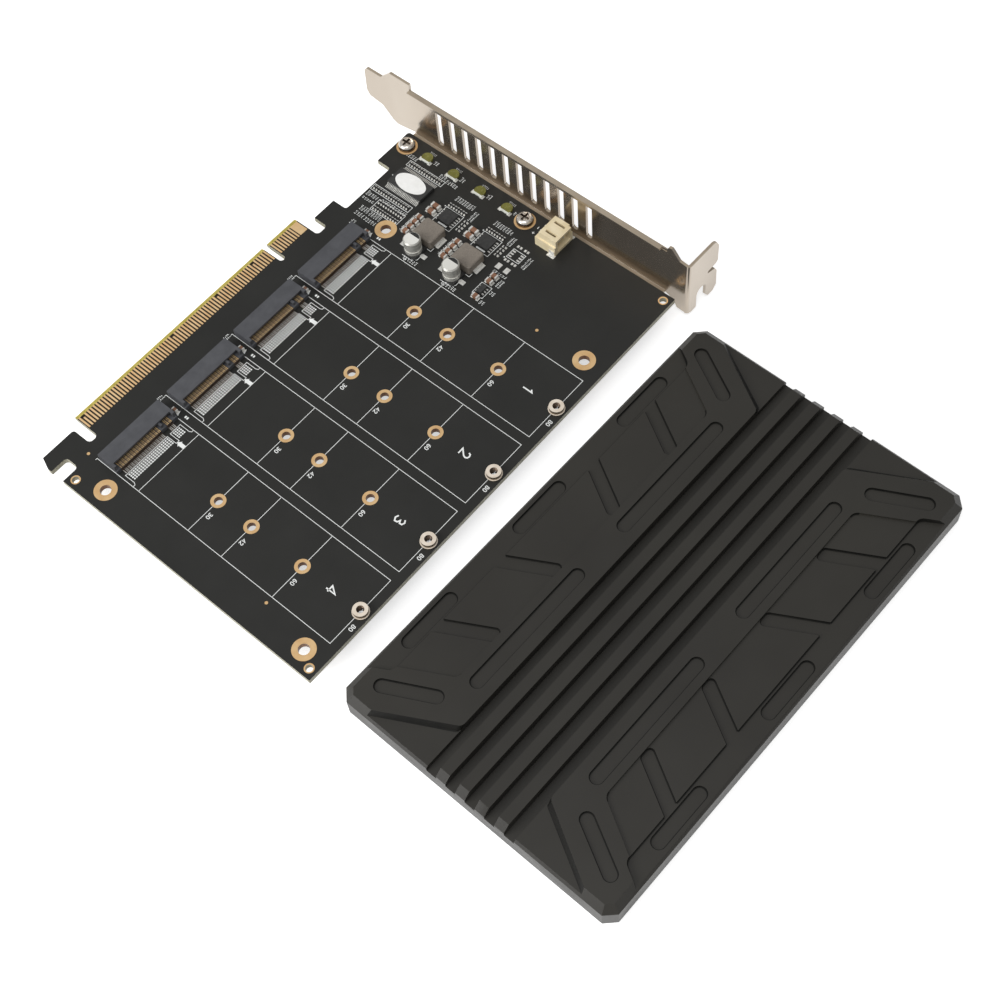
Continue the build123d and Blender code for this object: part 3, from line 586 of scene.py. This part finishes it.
# One module slot's print, with x from the slot's middle
SLOT_HALF = 10.98
SLOT_FRAME = [(-11.58, -14.3), (-10.98, -14.3), (-10.98, -98.35), (10.98, -98.35), (10.98, -22.1)]
CROSS_LINE_Y = -30.1
HOLE_CLEARANCE = 2.15
CONTACT_OUTLINE = [
    (-10.98, -28.05), (-10.28, -28.05), (-9.88, -27.4), (-9.88, -24.0), (5.27, -24.0), (5.27, -27.4),
    (6.32, -27.4), (6.32, -24.0), (9.97, -24.0), (9.97, -27.4), (10.28, -28.05), (10.98, -28.05),
]
KEY_ARROW = [
    (5.17, -30.0), (6.27, -30.0), (6.27, -28.4), (6.67, -28.4), (5.72, -27.4), (4.77, -28.4), (5.17, -28.4),
]
SLOT_NUMBER_AT, SLOT_NUMBER_HIGH, SLOT_NUMBER_LINE = (-0.1, -88.7), 3.0, 0.4
SIZES = {"30": HOLE_YS[0], "42": HOLE_YS[1], "60": HOLE_YS[2], "80": -98.4}
SIZE_AT, SIZE_HIGH, SIZE_LINE = (-4.6, -1.35), 1.15, 0.2


def draw_slot_frames(bm):
    """Each slot's frame, lines at its holes, outline of its contacts, arrow at its key, and numbers."""
    for index, xc in enumerate(SLOT_XS):
        print_line(bm, moved(SLOT_FRAME, xc))
        for y in (CROSS_LINE_Y, *HOLE_YS):
            clear = HOLE_CLEARANCE if y in HOLE_YS else 0.0
            print_bar(bm, xc - SLOT_HALF, xc - clear, y - LINE / 2, y + LINE / 2)
            print_bar(bm, xc + clear, xc + SLOT_HALF, y - LINE / 2, y + LINE / 2)
        print_line(bm, moved(CONTACT_OUTLINE, xc))
        print_shape(bm, moved(KEY_ARROW, xc))
        x, y = SLOT_NUMBER_AT
        number(bm, str(index + 1), xc + x, y, SLOT_NUMBER_HIGH, SLOT_NUMBER_LINE)
        x, aside = SIZE_AT
        for text, y in SIZES.items():
            number(bm, text, xc + x, y + aside, SIZE_HIGH, SIZE_LINE)


# Hatched fields of one slot, with x from its middle: their ends, rows and cells
HATCH_FIELDS = ((-9.33, 5.1), (6.77, 9.37))
HATCH_ROWS, HATCH_ROW_PITCH, HATCH_TOP = 4, 0.66, -24.4
CELL_PITCH, CELL_GAP, CELL_LENGTH = 0.72, 0.12, 0.44
RAIL_OVERHANG, RAIL_LOW, RAIL_HIGH = 0.3, -24.15, -24.03


def draw_hatching(bm):
    """Fields of small cells in front of the contacts, with a thin rail along them."""
    for xc in SLOT_XS:
        for left, right in HATCH_FIELDS:
            columns = round((right - left) / CELL_PITCH)
            pitch = (right - left) / columns
            for x, _ in row(xc + left, 0, columns, dx=pitch):
                for _, y in row(0, HATCH_TOP, HATCH_ROWS, dy=-HATCH_ROW_PITCH):
                    print_bar(bm, x + CELL_GAP, x + pitch - CELL_GAP, y - CELL_LENGTH, y)
            print_bar(bm, xc + left - RAIL_OVERHANG, xc + right + RAIL_OVERHANG, RAIL_LOW, RAIL_HIGH)


# Strokes that stand in for reference marks; a stem and a foot are shares of a mark's width and height
MARK_WIDTH, MARK_GAP, MARK_JITTER = 0.32, 0.16, 0.2
MARK_ROW_NEEDS = 0.6
MARK_HEIGHTS = (0.62, 0.62, 0.4)
STEM_WIDTH, FOOT_HEIGHT, FOOT_CHANCE = 0.55, 0.3, 0.6


def marks(bm, x0, x1, y0, y1, seed, pitch=0.85, turned=False):
    """Rows of short strokes that fill a field, along y where they are turned."""
    draws = random.Random(seed)

    def stroke(start, end, low, high):
        if turned:
            print_bar(bm, low, high, start, end)
        else:
            print_bar(bm, start, end, low, high)

    first, last, low, high = (y0, y1, x0, x1) if turned else (x0, x1, y0, y1)
    while low + pitch * MARK_ROW_NEEDS <= high:
        a = first + draws.uniform(0, MARK_JITTER)
        while a + MARK_WIDTH <= last:
            tall = pitch * draws.choice(MARK_HEIGHTS)
            stroke(a, a + MARK_WIDTH * STEM_WIDTH, low, low + tall)
            if draws.random() < FOOT_CHANCE:
                stroke(a, a + MARK_WIDTH, low, low + tall * FOOT_HEIGHT)
            a += MARK_WIDTH + MARK_GAP
        low += pitch


# Fields of reference marks and frames round parts, as (left, right, lower y, higher y)
MARK_FIELDS = (
    (24.0, 25.7, -15.1, -11.2), (26.0, 28.0, -15.1, -11.2), (24.0, 25.7, -19.6, -15.5),
    (26.0, 28.0, -19.6, -15.5), (32.1, 33.2, -24.3, -15.0), (48.0, 49.6, -29.1, -25.0),
    (48.7, 50.3, -13.4, -9.0), (48.6, 50.0, -24.6, -21.6), (45.0, 46.9, -38.0, -31.4),
    (45.0, 46.9, -52.2, -45.6), (41.8, 45.6, -40.4, -38.9), (41.8, 45.6, -54.6, -53.1),
    (29.6, 30.6, -13.9, -9.9), (31.2, 33.0, -13.9, -9.9), (38.2, 42.8, -62.8, -61.1),
    (26.0, 27.6, -61.9, -60.4), (22.0, 23.6, -61.6, -60.2), (29.2, 32.0, -61.4, -60.0),
    (32.6, 33.8, -60.8, -56.0), (20.8, 22.2, -38.2, -33.0), (20.8, 22.2, -52.4, -47.2),
    (27.8, 34.6, -26.6, -25.4), (27.8, 34.6, -40.7, -39.5),
)
PART_FRAMES = (
    (33.55, 35.65, -24.0, -9.7), (46.2, 48.2, -25.2, -12.0), (28.1, 32.2, -24.4, -14.6),
    (35.6, 41.9, -37.7, -31.3), (35.6, 41.9, -51.85, -45.45), (38.9, 42.2, -60.2, -55.9),
    (23.9, 28.1, -60.0, -56.4),
)
FIRST_PIN_DOTS = ((41.1, -11.5), (41.9, -30.8), (41.9, -44.95), (38.4, -55.6))
FIRST_PIN_R = 0.22
FIELD_SEED, LAMP_SEED, LAMP_ROW_SEED, SLOT_SEED = 11, 60, 70, 80

# Print of the first converter stage
REGULATOR_BAR = (36.1, 36.6, -36.1, -33.0)
INDUCTOR_CORNER = [(27.3, -30.6), (27.3, -38.3), (28.6, -38.3)]
CAN_CORNER = [(21.7, -32.6), (21.7, -36.2), (22.8, -37.3), (24.0, -37.3)]
CAN_SIGN_AT, CAN_SIGN = (20.85, -34.3), 0.9

# Print beside a slot, with x from its middle, and the fan header's two signs
SLOT_WEDGE = [(11.5, -21.6), (13.0, -21.0), (11.7, -20.5)]
SLOT_DASHES = ((12.2, 12.9, -23.7, -23.2), (12.2, 12.9, -24.4, -23.95))
HEADER_PLUS_X, HEADER_MINUS_X, HEADER_SIGN_Y, HEADER_SIGN = 49.7, 51.9, -56.5, 0.8


def draw_stage_marks(bm, shift):
    """Outlines of one converter stage's parts, and its can capacitor's sign."""
    left, right, low, high = REGULATOR_BAR
    print_bar(bm, left, right, low + shift, high + shift)
    print_line(bm, moved(INDUCTOR_CORNER, dy=shift))
    print_line(bm, moved(CAN_CORNER, dy=shift))
    x, y = CAN_SIGN_AT
    print_sign(bm, x, y + shift, CAN_SIGN)


def draw_reference_marks(bm):
    """The small print beside the parts, without any letters."""
    for k, field in enumerate(MARK_FIELDS):
        marks(bm, *field, seed=FIELD_SEED + k)
    for left, right, low, high in PART_FRAMES:
        print_line(bm, [(left, low), (right, low), (right, high), (left, high)], closed=True)
    for x, y in FIRST_PIN_DOTS:
        print_shape(bm, round_path(x, y, FIRST_PIN_R, steps=12))
    for shift in STAGE_SHIFTS:
        draw_stage_marks(bm, shift)
    for k, y in enumerate(LAMP_YS):
        marks(bm, 53.5, 54.5, y - 1.3, y + 1.3, seed=LAMP_SEED + k, pitch=0.5, turned=True)
        marks(bm, 51.0, 52.8, y - 3.9, y - 2.3, seed=LAMP_ROW_SEED + k)
    for k, xc in enumerate(SLOT_XS):
        marks(bm, xc + 11.5, xc + 13.6, -14.6, -12.4, seed=SLOT_SEED + k)
        print_shape(bm, moved(SLOT_WEDGE, xc))
        for left, right, low, high in SLOT_DASHES:
            print_bar(bm, xc + left, xc + right, low, high)
    print_sign(bm, HEADER_PLUS_X, HEADER_SIGN_Y, HEADER_SIGN)
    print_sign(bm, HEADER_MINUS_X, HEADER_SIGN_Y, HEADER_SIGN, plus=False)


piece("slot_frames", INK, draw_slot_frames)
piece("contact_hatching", INK, draw_hatching)
piece("reference_marks", INK, draw_reference_marks)


# Bare metal on the board
MODULE_HOLE_R, COVER_HOLE_R = 1.225, 1.575
BARREL_WALL, BARREL_CLEARANCE = 0.04, 0.005
LIP_WIDTH, LIP_HIGH = 0.21, 0.05
DOTS = ((-77.45, -11.43), (-78.97, -78.47), (25.08, -78.44))
DOT_R, DOT_HIGH = 0.45, 0.04


def draw_barrels(bm):
    """Plating through the holes, with a lip at both ends that meets the gold rings."""
    low, high = -BOARD_THICKNESS - LIP_HIGH, LIP_HIGH
    for places, radius in ((MODULE_HOLES, MODULE_HOLE_R), (COVER_HOLES, COVER_HOLE_R)):
        inner, outer, lip = radius - BARREL_WALL, radius - BARREL_CLEARANCE, radius + LIP_WIDTH
        profile = [
            (inner, low), (lip, low), (lip, low + LIP_HIGH), (outer, low + LIP_HIGH),
            (outer, high - LIP_HIGH), (lip, high - LIP_HIGH), (lip, high), (inner, high),
        ]
        for x, y in places:
            lathe(bm, x, y, profile)


def draw_dots(bm):
    """Round marks of bare foil."""
    for x, y in DOTS:
        prism(bm, round_path(x, y, DOT_R), 0, DOT_HIGH)


# Solder pads: heights, and columns of chip resistors as (x, first y, how many)
PAD_HIGH = 0.06
LEAD_PAD_HIGH = 0.03
RESISTOR_PITCH = 0.95
RESISTOR_COLUMNS = [(29.1, -15.3, 10), (31.4, -15.3, 10), (34.6, -10.6, 14), (47.2, -12.9, 13)]
RESISTOR_COLUMNS += [(43.0, -31.6 + shift, 7) for shift in STAGE_SHIFTS]
LOWER_CAPACITORS = ((23.2, -58.3), (29.3, -58.0), (31.4, -58.0))
SLOT_CAPACITOR_AT = (12.2, -19.8)
LAMP_PAD_X = 50.575
LEAD_COUNT, LEAD_PITCH = 24, 0.5


def pads(bm, places, wide, long, high=PAD_HIGH):
    """Pads of one size, centred on the places."""
    for x, y in places:
        bar(bm, x - wide / 2, x + wide / 2, y - long / 2, y + long / 2, 0, high)


def draw_stage_pads(bm, shift):
    """Pads of one converter stage: its chips in rows, and its regulator, inductor and can."""
    pads(bm, ends(row(37.5, -39.4 + shift, 4, dx=1.15), dy=0.53), wide=0.6, long=0.5)
    pads(bm, ends(row(28.15, -28.1 + shift, 4, dx=2.0), dy=0.975), wide=1.5, long=0.75)
    pads(bm, ends(row(37.7, -29.2 + shift, 2, dx=2.1), dy=1.325), wide=1.5, long=0.85)
    x, y = REGULATOR_AT
    pads(bm, ends(row(x - 1.8, y + shift, 5, dx=0.9), dy=2.6), wide=0.4, long=0.8)
    pads(bm, ends(moved([INDUCTOR_AT], dy=shift), dy=4.4), wide=3.8, long=0.9)
    pads(bm, ends(moved([CAN_AT], dy=shift), dy=3.7), wide=1.4, long=1.8)


def draw_empty_pads(bm):
    """Pads near the fan header that carry no part."""
    pads(bm, ((35.1, -56.4), (35.1, -59.3)), wide=1.9, long=1.5)
    pads(bm, ends(row(39.6, -58.05, 3, dx=0.95), dy=1.45), wide=0.48, long=1.0)
    pads(bm, [(x, y) for x in (37.9, 43.5) for y in (-56.4, -57.4, -58.9, -59.9)], wide=0.8, long=0.64)


def draw_pads(bm):
    """Solder pads under the parts' ends, and those left without a part."""
    for x, y, count in RESISTOR_COLUMNS:
        pads(bm, ends(row(x, y, count, dy=-RESISTOR_PITCH), dx=0.5), wide=0.44, long=0.44)
    for shift in STAGE_SHIFTS:
        draw_stage_pads(bm, shift)
    draw_empty_pads(bm)
    pads(bm, ends(LOWER_CAPACITORS, dy=0.975), wide=1.5, long=0.75)
    x, y = CONTROLLER_AT
    leads = row(x, y - LEAD_PITCH * (LEAD_COUNT - 1) / 2, LEAD_COUNT, dy=LEAD_PITCH)
    pads(bm, ends(leads, dx=4.0), wide=1.2, long=0.28, high=LEAD_PAD_HIGH)
    pads(bm, ends([(LAMP_PAD_X, y) for y in LAMP_YS], dy=1.675), wide=1.25, long=1.05)
    x, y = SLOT_CAPACITOR_AT
    pads(bm, ends([(xc + x, y) for xc in SLOT_XS], dy=0.825), wide=1.0, long=0.65)
    # Under the fan header's anchors, the right one up to the board's edge
    pads(bm, [(46.65, -65.45)], wide=1.3, long=2.5)
    pads(bm, [(55.25, -65.45)], wide=0.9, long=2.5)


piece("hole_plating", plating_finish(), draw_barrels)
piece("alignment_dots", GOLD, draw_dots)
piece("solder_pads", TIN, draw_pads)


# Relief of the cover: how level ground is, how upright and high a wall, and how far its painted shade
# reaches
GROUND_LEVEL, WALL_LEAN = 0.95, 0.8
WALL_LOWEST, WALL_TALLEST = 0.05 * MM, 1.7 * MM
RELIEF_TOUCH = 0.02 * MM
RELIEF_SKIN = 0.015 * MM
FOOT_REACH = 0.3 * MM
SMOOTH_EDGE = 0.999


def is_low_wall(wall, ground, a, b):
    """Whether the wall rises from that ground in an inner corner, along the edge from a to b."""
    (loop, out), (field, up) = wall, ground
    height = max(c.z for c in loop) - a.z
    upright = up.z >= GROUND_LEVEL and abs(out.z) <= WALL_LEAN and WALL_LOWEST < height < WALL_TALLEST
    level = abs(a.z - b.z) < RELIEF_TOUCH and (b - a).length > WALL_LOWEST
    inner = max((c - a).dot(out) for c in field) > RELIEF_TOUCH
    return upright and level and inner


def draw_foot_shade(bm, grounds, a, b, out):
    """A strip of painted shade on the ground along a wall's foot, where the ground reaches as far."""
    away = Vector((out.x, out.y, 0)).normalized() * FOOT_REACH
    near = [ground for ground in grounds if abs(ground[0].z - a.z) < RELIEF_TOUCH]
    strip = [a, b]
    strip += [end + away for end in (b, a) if any(covers(ground, end + away) for ground in near)]
    if len(strip) > 2:
        bm.faces.new([bm.verts.new(c + Vector((0, 0, RELIEF_SKIN))) for c in strip])


def with_neighbours(walls, polygons, pairs):
    """The walls, and the polygons that carry one of them on without an edge."""
    found = set(walls)
    for (one, _, _), (two, _, _) in pairs:
        smooth = polygons[one][1].dot(polygons[two][1]) > SMOOTH_EDGE
        if smooth and (one in walls or two in walls):
            found |= {one, two}
    return sorted(found)


def draw_relief_shade(bm):
    """Painted shade on the cover's low walls and along their feet."""
    polygons, pairs = facets("heatsink_cover")
    grounds = [loop for loop, normal in polygons if normal.z > GROUND_LEVEL]
    walls = set()
    for pair in pairs:
        for (wall, a, b), (ground, _, _) in (pair, pair[::-1]):
            if is_low_wall(polygons[wall], polygons[ground], a, b):
                walls.add(wall)
                draw_foot_shade(bm, grounds, a, b, polygons[wall][1])
    for wall in with_neighbours(walls, polygons, pairs):
        loop, out = polygons[wall]
        bm.faces.new([bm.verts.new(c + RELIEF_SKIN * out) for c in loop])


# Small parts' detail
CAN_MARK_R, CAN_MARK_HALF_ANGLE = 2.1, 62
CAN_TOP, CAN_MARK_HIGH = 5.4, 0.02
THREAD_ROOT_R, THREAD_CREST_R = 1.046, 0.9
THREAD_LOW, THREAD_PITCH, THREAD_TURNS = -1.25, 0.2, 13
LENS_X, LENS_R = 51.55, 1.72
RIM_ARCS = ((104.3, 124), (236, 255.7))
RIM_LOW, RIM_HIGH = 0.5, 0.8


def draw_can_marks(bm):
    """Dark segment printed on each can's top."""
    for x, y in [moved([CAN_AT], dy=shift)[0] for shift in STAGE_SHIFTS]:
        segment = round_path(x, y, CAN_MARK_R, -CAN_MARK_HALF_ANGLE, CAN_MARK_HALF_ANGLE, steps=20)
        prism(bm, segment, CAN_TOP, CAN_TOP + CAN_MARK_HIGH)


def draw_threads(bm):
    """Thread ridges in the standoffs' bores."""
    profile = [(THREAD_ROOT_R, THREAD_LOW)]
    for turn in range(THREAD_TURNS):
        z = THREAD_LOW + THREAD_PITCH * turn
        profile += [(THREAD_CREST_R, z + THREAD_PITCH / 2), (THREAD_ROOT_R, z + THREAD_PITCH)]
    for xc in SLOT_XS:
        lathe(bm, xc, STANDOFF_Y, profile, steps=24)


def draw_lamp_rims(bm):
    """The lens's rim over the lamp's base strip."""
    for y in LAMP_YS:
        outline = [point for arc in RIM_ARCS for point in round_path(LENS_X, y, LENS_R, *arc, steps=4)]
        prism(bm, outline, RIM_LOW, RIM_HIGH)


# Painted shade: dark sheets laid over the cover's low walls and along their feet.
RELIEF_SHADE = plain("relief_painted_shade", (14, 14, 12), (24, 23, 20), grain=200, rough=(0.5, 0.6),
               bump=0.002, specular=0.3)
piece("cover_painted_shade", RELIEF_SHADE, draw_relief_shade)
piece("can_marks", BASE, draw_can_marks)
piece("standoff_threads", THREAD_SHADE, draw_threads)
piece("lamp_rims", LENS, draw_lamp_rims)


# Camera at the photograph's place, with its right and down axes in the card's frame
FOCAL_LENGTH, SENSOR_WIDTH = 61.70, 36.0
CLIP_START, CLIP_END = 0.01, 10.0
CAMERA_AT = (-167.310, -258.707, 372.334)
CAMERA_RIGHT = (0.64974, -0.75769, -0.0612)
CAMERA_DOWN = (-0.67895, -0.54223, -0.49499)


def make_camera():
    data = bpy.data.cameras.new("camera")
    data.lens = FOCAL_LENGTH
    data.sensor_width = SENSOR_WIDTH
    data.clip_start = CLIP_START
    data.clip_end = CLIP_END
    camera = bpy.data.objects.new("camera", data)
    bpy.context.collection.objects.link(camera)
    right, down = Vector(CAMERA_RIGHT), Vector(CAMERA_DOWN)
    turn = Matrix((right, -down, down.cross(right))).transposed().to_4x4()
    camera.matrix_world = Matrix.Translation(at(*CAMERA_AT)) @ turn
    bpy.context.scene.camera = camera


# Light: a pale floor, a soft world, and lamps; lengths here are in metres
FLOOR_HALF, FLOOR_DROP = 3.0, 0.0002
FLOOR_GREY, FLOOR_GLOW = 0.85, 0.6
WORLD_LIGHT = 0.4


def math_node(nodes, operation, second=0.0):
    """A math node whose second value is set."""
    node = nodes.new("ShaderNodeMath")
    node.operation = operation
    node.inputs[1].default_value = second
    return node


def floor_material():
    """Pale grey that glows to the camera and in reflections."""
    material = bpy.data.materials.new("floor_white")
    material.use_nodes = True
    nodes, links = material.node_tree.nodes, material.node_tree.links
    nodes.clear()
    out = nodes.new("ShaderNodeOutputMaterial")
    diffuse = nodes.new("ShaderNodeBsdfDiffuse")
    diffuse.inputs["Color"].default_value = (FLOOR_GREY, FLOOR_GREY, FLOOR_GREY, 1)
    glow = nodes.new("ShaderNodeEmission")
    rays = nodes.new("ShaderNodeLightPath")
    seen = math_node(nodes, "MAXIMUM")
    links.new(rays.outputs["Is Camera Ray"], seen.inputs[0])
    links.new(rays.outputs["Is Glossy Ray"], seen.inputs[1])
    strength = math_node(nodes, "MULTIPLY", FLOOR_GLOW)
    links.new(seen.outputs[0], strength.inputs[0])
    links.new(strength.outputs[0], glow.inputs["Strength"])
    both = nodes.new("ShaderNodeAddShader")
    links.new(diffuse.outputs[0], both.inputs[0])
    links.new(glow.outputs[0], both.inputs[1])
    links.new(both.outputs[0], out.inputs["Surface"])
    return material


def make_floor():
    mesh = bpy.data.meshes.new("floor")
    corners = [(x * FLOOR_HALF, y * FLOOR_HALF, 0) for x, y in ((-1, -1), (1, -1), (1, 1), (-1, 1))]
    mesh.from_pydata(corners, [], [(0, 1, 2, 3)])
    mesh.materials.append(floor_material())
    floor = bpy.data.objects.new("floor", mesh)
    bpy.context.collection.objects.link(floor)
    floor.location.z = -FLOOR_DROP


def make_world():
    """White to the camera, soft and dim to everything else."""
    world = bpy.data.worlds.new("world")
    world.use_nodes = True
    nodes, links = world.node_tree.nodes, world.node_tree.links
    sky = nodes["Background"]
    sky.inputs["Color"].default_value = (1, 1, 1, 1)
    rays = nodes.new("ShaderNodeLightPath")
    strength = math_node(nodes, "MAXIMUM", WORLD_LIGHT)
    links.new(rays.outputs["Is Camera Ray"], strength.inputs[0])
    links.new(strength.outputs[0], sky.inputs["Strength"])
    bpy.context.scene.world = world


def softbox(name, place, size, watts):
    """A square lamp aimed at the frame's origin."""
    data = bpy.data.lights.new(name, "AREA")
    data.shape = "SQUARE"
    data.size = size
    data.energy = watts
    lamp = bpy.data.objects.new(name, data)
    bpy.context.collection.objects.link(lamp)
    lamp.location = place
    lamp.rotation_euler = (-Vector(place)).to_track_quat("-Z", "Y").to_euler()


make_camera()
make_floor()
make_world()
softbox("key", place=(-0.75, 0.35, 0.55), size=0.5, watts=6.0)
softbox("top", place=(-0.35, -0.15, 1.0), size=0.6, watts=3.4)
bpy.context.scene.view_settings.view_transform = "Standard"
